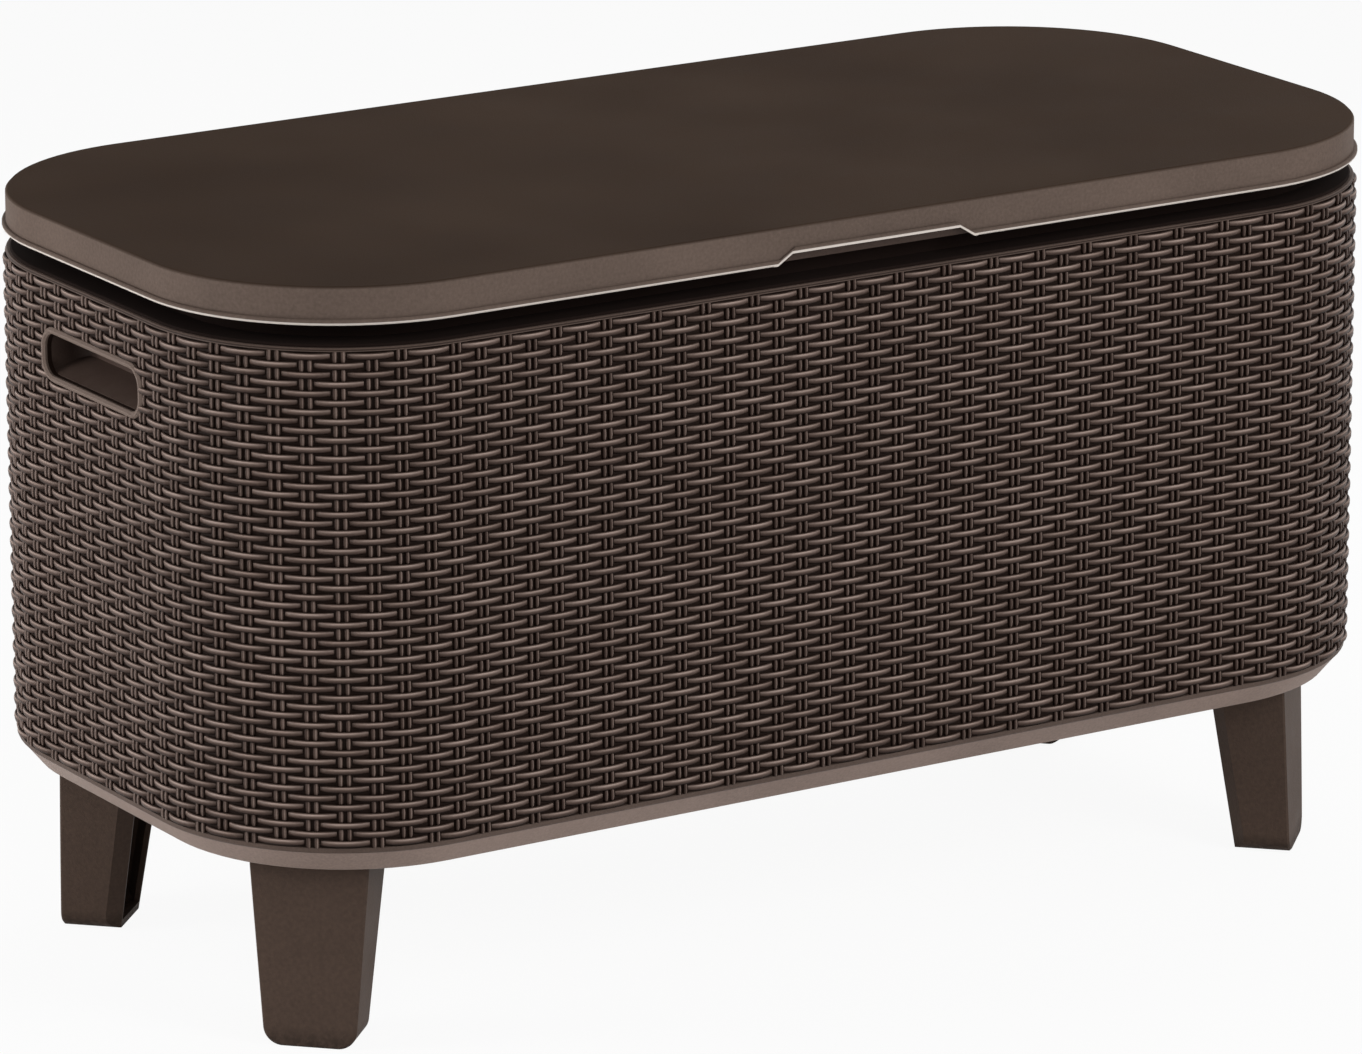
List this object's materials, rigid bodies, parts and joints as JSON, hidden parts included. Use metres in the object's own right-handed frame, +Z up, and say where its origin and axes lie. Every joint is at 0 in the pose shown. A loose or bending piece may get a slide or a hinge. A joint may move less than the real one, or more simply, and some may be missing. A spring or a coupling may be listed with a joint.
{
  "type": "cooler table",
  "caption": "Low insulated cooler table with a woven-look body on tapered feet; its rear-hinged flat lid lifts over a drained tub.",
  "frame": {"origin": "ground level between the feet, under the middle of the table", "axes": "+X along the table to its right end, +Y to the hinged rear side, +Z up"},
  "size_m": [0.845, 0.4128, 0.4734],
  "materials": {
    "lid_panel": "fine matt moulded texture, dark brown",
    "shell_weave": "moulded rattan weave, dark brown",
    "base": "smooth satin, brown",
    "foot": "fine matt moulded texture, brown",
    "grip": "smooth satin, dark brown",
    "tub": "smooth satin, dark brown",
    "liner": "smooth satin, dark brown",
    "foam": "rigid insulation foam, pale cream",
    "seal": "soft black",
    "hinge": "reinforced plastic, dark brown",
    "steel": "zinc plated",
    "drain": "smooth satin, near black"
  },
  "bodies": {
    "cabinet": {"body_shell": "shell_weave", "cooler_tub": "tub", "tub_foam": "foam", "base_tray": "base", "base_screws": "steel", "foot_screws": "steel", "hinge_screws": "steel", "drain_spout": "drain", "drain_gasket": "seal", "drain_nut": "drain", "foot_front_left": "foot", "foot_front_right": "foot", "foot_rear_left": "foot", "foot_rear_right": "foot", "grip_cup_left": "grip", "grip_cup_right": "grip", "hinge_bracket_left": "hinge", "hinge_bracket_right": "hinge", "hinge_pin_left": "steel", "hinge_pin_right": "steel"},
    "lid": {"lid_top": "lid_panel", "lid_liner": "liner", "lid_foam": "foam", "lid_seal": "seal", "lid_screws": "steel"},
    "drain_plug": {"drain_plug": "drain"}
  },
  "joints": [
    {"name": "lid_hinge", "type": "hinge", "parent": "cabinet", "child": "lid", "pos_m": [0, 0.1955, 0.4526], "axis": [-1, 0, 0], "range_deg": [0, 100]},
    {"name": "drain_plug_slide", "type": "slide", "parent": "cabinet", "child": "drain_plug", "axis": [0, 0, -1], "range_m": [0, 0.02]}
  ]
}
